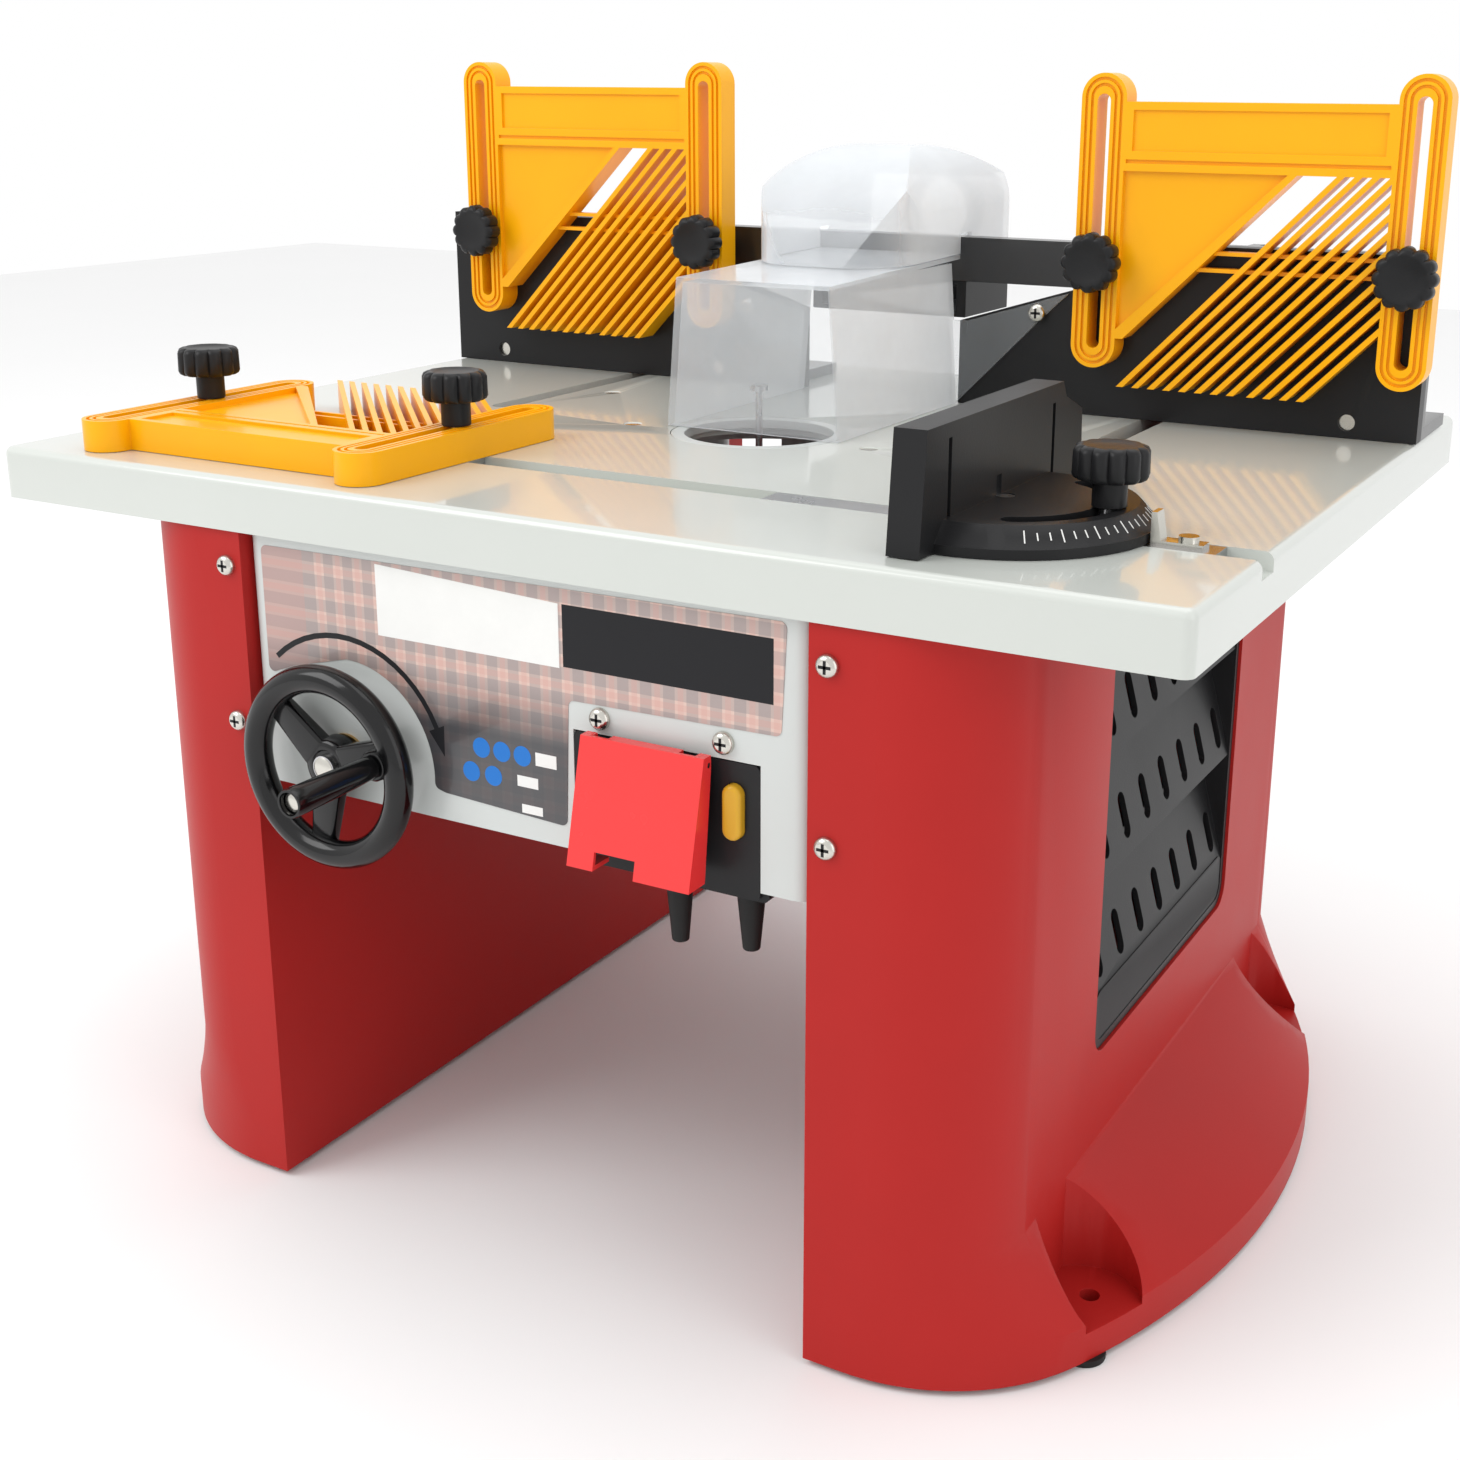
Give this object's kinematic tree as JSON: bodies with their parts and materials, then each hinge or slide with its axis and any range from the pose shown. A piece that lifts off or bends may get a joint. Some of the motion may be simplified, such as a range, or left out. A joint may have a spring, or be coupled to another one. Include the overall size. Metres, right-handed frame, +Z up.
{
  "type": "router table",
  "caption": "Bench-top router table with lifting motor, split fence, three featherboards, guard with dust hood, mitre gauge and safety switch.",
  "frame": {"origin": "on the floor under the centre of the table", "axes": "+Z up, +X to the operator's right, +Y to the rear, away from the operator"},
  "size_m": [0.6046, 0.5232, 0.54],
  "materials": {
    "table_enamel": "gloss",
    "red_plastic": "satin",
    "black_plastic": "satin",
    "gloss_black": "gloss",
    "black_enamel": "satin",
    "grey_enamel": "satin",
    "label_print": "satin",
    "yellow_plastic": "gloss",
    "flap_red": "gloss",
    "green_plastic": "gloss",
    "button_yellow": "gloss",
    "clear_plastic": "clear",
    "steel": "satin",
    "zinc": "satin",
    "cast_aluminium": "satin",
    "rubber": "matte",
    "bronze": "satin",
    "iron_core": "matte"
  },
  "bodies": {
    "frame": {"table_top": "table_enamel", "insert_ring": "grey_enamel", "left_leg": "red_plastic", "right_leg": "red_plastic", "left_vent_grille": "black_plastic", "right_vent_grille": "black_plastic", "rubber_feet": "rubber", "front_panel": "grey_enamel", "front_label": "label_print", "frame_screws": "zinc", "switch_body": "black_plastic", "cord_boots": "rubber", "lift_frame": "grey_enamel", "guide_columns": "steel", "shaft_bushes": "bronze"},
    "handwheel_body": {"handwheel": "gloss_black", "wheel_shaft": "steel", "drive_pinion": "steel", "wheel_bolts": "zinc"},
    "grip_body": {"crank_grip": "gloss_black"},
    "screw_body": {"lead_screw": "steel", "screw_gear": "steel"},
    "carriage_body": {"motor_carriage": "cast_aluminium", "guide_bushes": "bronze", "lift_nut": "bronze", "motor_housing": "black_plastic", "motor_cap": "black_plastic", "motor_stator": "iron_core", "motor_bearings": "steel"},
    "spindle_body": {"armature": "iron_core", "cooling_fan": "black_plastic", "collet_nut": "steel", "keyhole_bit": "steel"},
    "flap_body": {"switch_flap": "flap_red"},
    "start_button_body": {"start_button": "green_plastic"},
    "stop_button_body": {"stop_button": "flap_red"},
    "reset_button_body": {"reset_button": "button_yellow"},
    "fence_body": {"fence_beam": "black_enamel", "left_facing": "black_plastic", "right_facing": "black_plastic", "guard": "clear_plastic", "hood_base": "black_plastic", "dust_hood": "clear_plastic", "fence_fasteners": "zinc"},
    "left_clamp_body": {"left_clamp_knob": "black_plastic"},
    "right_clamp_body": {"right_clamp_knob": "black_plastic"},
    "left_board_body": {"left_featherboard": "yellow_plastic"},
    "right_board_body": {"right_featherboard": "yellow_plastic"},
    "left_knob_1_body": {"left_board_knob_1": "black_plastic"},
    "left_knob_2_body": {"left_board_knob_2": "black_plastic"},
    "right_knob_1_body": {"right_board_knob_1": "black_plastic"},
    "right_knob_2_body": {"right_board_knob_2": "black_plastic"},
    "table_slide_body": {"table_slide": "steel"},
    "table_board_body": {"table_featherboard": "yellow_plastic"},
    "table_knob_1_body": {"table_board_knob_1": "black_plastic"},
    "table_knob_2_body": {"table_board_knob_2": "black_plastic"},
    "mitre_body": {"mitre_bar": "steel", "mitre_pointer": "zinc"},
    "gauge_head_body": {"gauge_body": "black_plastic"},
    "mitre_knob_body": {"mitre_knob": "black_plastic"}
  },
  "joints": [
    {"name": "motor_lift", "type": "slide", "parent": "frame", "child": "carriage_body", "axis": [0, 0, 1], "range_m": [-0.026, 0.014]},
    {"name": "handwheel_turn", "type": "hinge", "parent": "frame", "child": "handwheel_body", "pos_m": [-0.0935, -0.236, 0.232], "axis": [0, 1, 0], "range_deg": [-3120.5, 1680.5]},
    {"name": "lead_screw_turn", "type": "hinge", "parent": "frame", "child": "screw_body", "pos_m": [-0.0935, -0.008, 0.232], "axis": [0, 0, 1], "range_deg": [-1680.5, 3120.5]},
    {"name": "crank_grip_spin", "type": "hinge", "parent": "handwheel_body", "child": "grip_body", "pos_m": [-0.06148, -0.26, 0.23998], "axis": [0, 1, 0], "continuous": true},
    {"name": "spindle_spin", "type": "hinge", "parent": "carriage_body", "child": "spindle_body", "pos_m": [0, -0.008, 0.33], "axis": [0, 0, 1], "continuous": true},
    {"name": "switch_flap_hinge", "type": "hinge", "parent": "frame", "child": "flap_body", "pos_m": [0.073, -0.227, 0.266], "axis": [-1, 0, 0], "range_deg": [-3, 70], "stiffness_Nm_per_rad": 0.05},
    {"name": "start_button_press", "type": "slide", "parent": "frame", "child": "start_button_body", "axis": [0, 1, 0], "range_m": [0, 0.003], "stiffness_N_per_m": 400, "springref_m": -0.001},
    {"name": "stop_button_press", "type": "slide", "parent": "frame", "child": "stop_button_body", "axis": [0, 1, 0], "range_m": [0, 0.003], "stiffness_N_per_m": 400, "springref_m": -0.001},
    {"name": "reset_button_press", "type": "slide", "parent": "frame", "child": "reset_button_body", "axis": [0, 1, 0], "range_m": [0, 0.003], "stiffness_N_per_m": 400, "springref_m": -0.001},
    {"name": "fence_slide", "type": "slide", "parent": "frame", "child": "fence_body", "axis": [0, 1, 0], "range_m": [-0.06, 0]},
    {"name": "left_clamp_knob_turn", "type": "hinge", "parent": "fence_body", "child": "left_clamp_body", "pos_m": [-0.162, 0.182, 0.37], "axis": [0, 0, 1], "range_deg": [0, 180]},
    {"name": "right_clamp_knob_turn", "type": "hinge", "parent": "fence_body", "child": "right_clamp_body", "pos_m": [0.162, 0.182, 0.37], "axis": [0, 0, 1], "range_deg": [0, 180]},
    {"name": "left_featherboard_slide", "type": "slide", "parent": "fence_body", "child": "left_board_body", "axis": [0, 0, 1], "range_m": [-0.014, 0.032]},
    {"name": "left_board_knob_1_turn", "type": "hinge", "parent": "fence_body", "child": "left_knob_1_body", "pos_m": [-0.2637, 0.105, 0.441], "axis": [0, -1, 0], "range_deg": [0, 180]},
    {"name": "left_board_knob_2_turn", "type": "hinge", "parent": "fence_body", "child": "left_knob_2_body", "pos_m": [-0.1057, 0.105, 0.441], "axis": [0, -1, 0], "range_deg": [0, 180]},
    {"name": "right_featherboard_slide", "type": "slide", "parent": "fence_body", "child": "right_board_body", "axis": [0, 0, 1], "range_m": [-0.014, 0.032]},
    {"name": "right_board_knob_1_turn", "type": "hinge", "parent": "fence_body", "child": "right_knob_1_body", "pos_m": [0.1326, 0.105, 0.441], "axis": [0, -1, 0], "range_deg": [0, 180]},
    {"name": "right_board_knob_2_turn", "type": "hinge", "parent": "fence_body", "child": "right_knob_2_body", "pos_m": [0.2906, 0.105, 0.441], "axis": [0, -1, 0], "range_deg": [0, 180]},
    {"name": "table_slide_travel", "type": "slide", "parent": "frame", "child": "table_slide_body", "axis": [1, 0, 0], "range_m": [-0.03, 0.02]},
    {"name": "table_featherboard_slide", "type": "slide", "parent": "table_slide_body", "child": "table_board_body", "axis": [0, 1, 0], "range_m": [-0.04, 0.025]},
    {"name": "table_board_knob_1_turn", "type": "hinge", "parent": "table_slide_body", "child": "table_knob_1_body", "pos_m": [-0.248, -0.1383, 0.38], "axis": [0, 0, 1], "range_deg": [0, 180]},
    {"name": "table_board_knob_2_turn", "type": "hinge", "parent": "table_slide_body", "child": "table_knob_2_body", "pos_m": [-0.09, -0.1383, 0.38], "axis": [0, 0, 1], "range_deg": [0, 180]},
    {"name": "mitre_gauge_travel", "type": "slide", "parent": "frame", "child": "mitre_body", "axis": [1, 0, 0], "range_m": [-0.04, 0.045]},
    {"name": "mitre_gauge_swivel", "type": "hinge", "parent": "mitre_body", "child": "gauge_head_body", "pos_m": [0.19, -0.1383, 0.362], "axis": [0, 0, 1], "range_deg": [-60, 60]},
    {"name": "mitre_knob_turn", "type": "hinge", "parent": "mitre_body", "child": "mitre_knob_body", "pos_m": [0.234, -0.1383, 0.38], "axis": [0, 0, 1], "range_deg": [0, 180]}
  ],
  "couplings": [
    {"joint": "handwheel_turn", "follows": "motor_lift", "rad_per_m": 2094.4},
    {"joint": "lead_screw_turn", "follows": "motor_lift", "rad_per_m": -2094.4}
  ]
}
